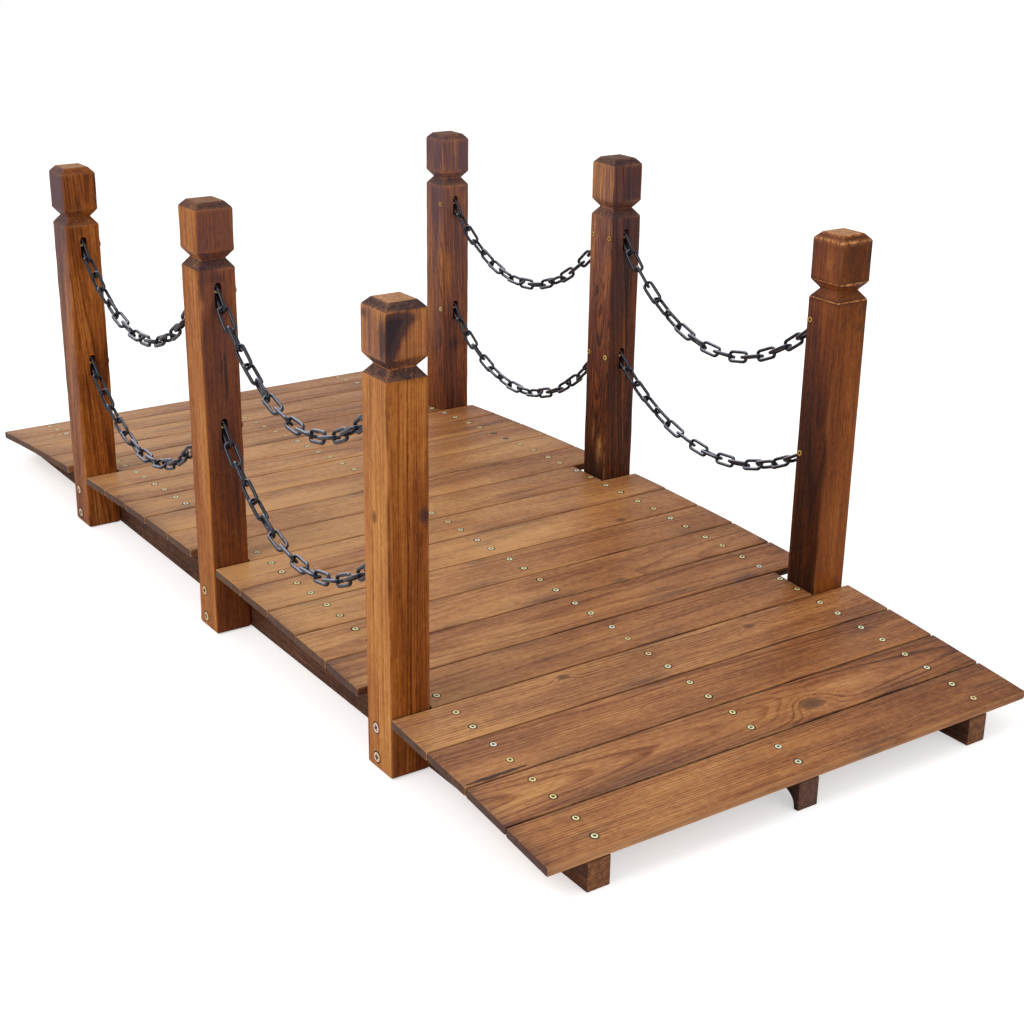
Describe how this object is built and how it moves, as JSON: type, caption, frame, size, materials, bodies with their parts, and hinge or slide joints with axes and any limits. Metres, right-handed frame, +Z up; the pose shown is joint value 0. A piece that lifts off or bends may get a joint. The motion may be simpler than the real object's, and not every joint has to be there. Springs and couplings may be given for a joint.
{
  "type": "moon bridge",
  "caption": "Small arched wooden garden bridge: boarded deck on stringers, square posts with grooved heads and sagging chain railings.",
  "frame": {"origin": "on the floor, under the middle of the deck", "axes": "+X along the span to the near end, +Y across the bridge to its right side, +Z up"},
  "size_m": [1.5236, 0.67, 0.549],
  "materials": {
    "deck_wood": "satin",
    "stringer_wood": "satin",
    "light_post_wood": "satin",
    "dark_post_wood": "satin",
    "chain_steel": "gloss",
    "screw_brass": "satin"
  },
  "bodies": {
    "root": {"deck_board_01": "deck_wood", "deck_board_02": "deck_wood", "deck_board_03": "deck_wood", "deck_board_04": "deck_wood", "deck_board_05": "deck_wood", "deck_board_06": "deck_wood", "deck_board_07": "deck_wood", "deck_board_08": "deck_wood", "deck_board_09": "deck_wood", "deck_board_10": "deck_wood", "deck_board_11": "deck_wood", "deck_board_12": "deck_wood", "deck_board_13": "deck_wood", "deck_board_14": "deck_wood", "deck_board_15": "deck_wood", "deck_board_16": "deck_wood", "deck_board_17": "deck_wood", "deck_board_18": "deck_wood", "deck_board_19": "deck_wood", "deck_board_20": "deck_wood", "deck_board_21": "deck_wood", "left_stringer": "stringer_wood", "middle_stringer": "stringer_wood", "right_stringer": "stringer_wood", "far_left_post": "light_post_wood", "far_right_post": "dark_post_wood", "middle_left_post": "light_post_wood", "middle_right_post": "dark_post_wood", "near_left_post": "light_post_wood", "near_right_post": "dark_post_wood", "far_left_chain_screws": "screw_brass", "far_right_chain_screws": "screw_brass", "middle_left_chain_screws": "screw_brass", "middle_right_chain_screws": "screw_brass", "near_left_chain_screws": "screw_brass", "near_right_chain_screws": "screw_brass", "far_left_upper_chain": "chain_steel", "far_left_lower_chain": "chain_steel", "far_right_upper_chain": "chain_steel", "far_right_lower_chain": "chain_steel", "near_left_upper_chain": "chain_steel", "near_left_lower_chain": "chain_steel", "near_right_upper_chain": "chain_steel", "near_right_lower_chain": "chain_steel"}
  },
  "joints": []
}
